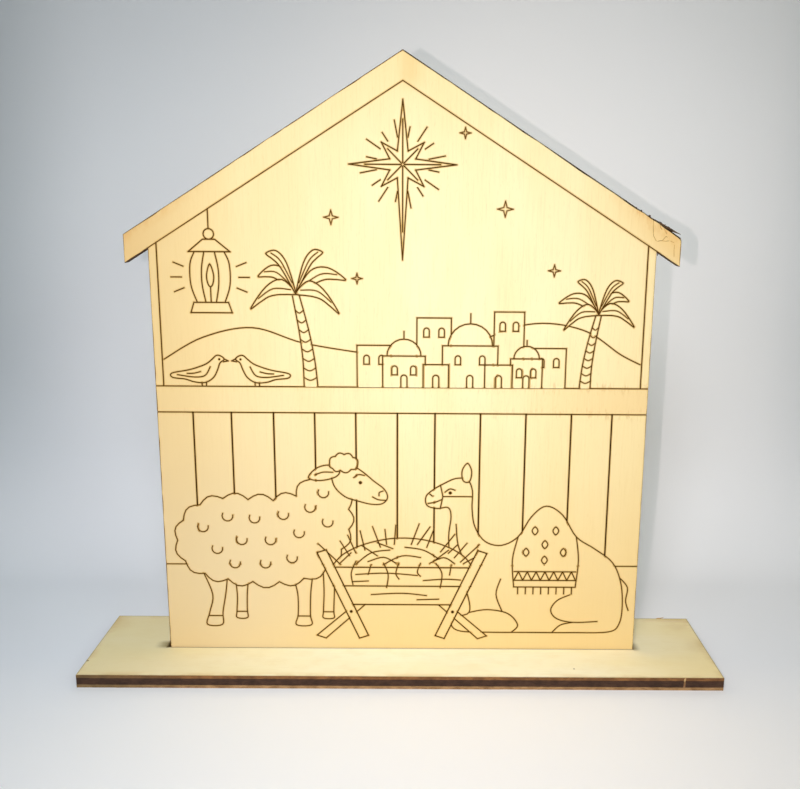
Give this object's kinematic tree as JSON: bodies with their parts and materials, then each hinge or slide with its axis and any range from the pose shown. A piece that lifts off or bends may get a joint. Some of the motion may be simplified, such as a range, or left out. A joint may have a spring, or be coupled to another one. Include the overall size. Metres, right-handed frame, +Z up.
{
  "type": "wooden nativity stable",
  "caption": "Flat plywood stable silhouette with an engraved front, standing upright in the slot of a rectangular plywood base.",
  "frame": {"origin": "centre of the base's underside", "axes": "+Z up, +X to the right seen from the engraved front, -Y out of the engraved front"},
  "size_m": [0.19, 0.038, 0.1804],
  "materials": {
    "base_face": "raw sanded poplar veneer, slightly yellow",
    "panel_face": "raw sanded poplar veneer with laser-engraved brown lines",
    "charred_core": "laser-charred cross-grain core, matte"
  },
  "bodies": {
    "base": {"base_bottom_ply": "base_face", "base_core_ply": "charred_core", "base_top_ply": "base_face"},
    "panel": {"panel_back_ply": "panel_face", "panel_core_ply": "charred_core", "panel_front_ply": "panel_face"}
  },
  "joints": [
    {"name": "panel_lift", "type": "slide", "parent": "base", "child": "panel", "axis": [0, 0, 1], "range_m": [0, 0.02]}
  ]
}
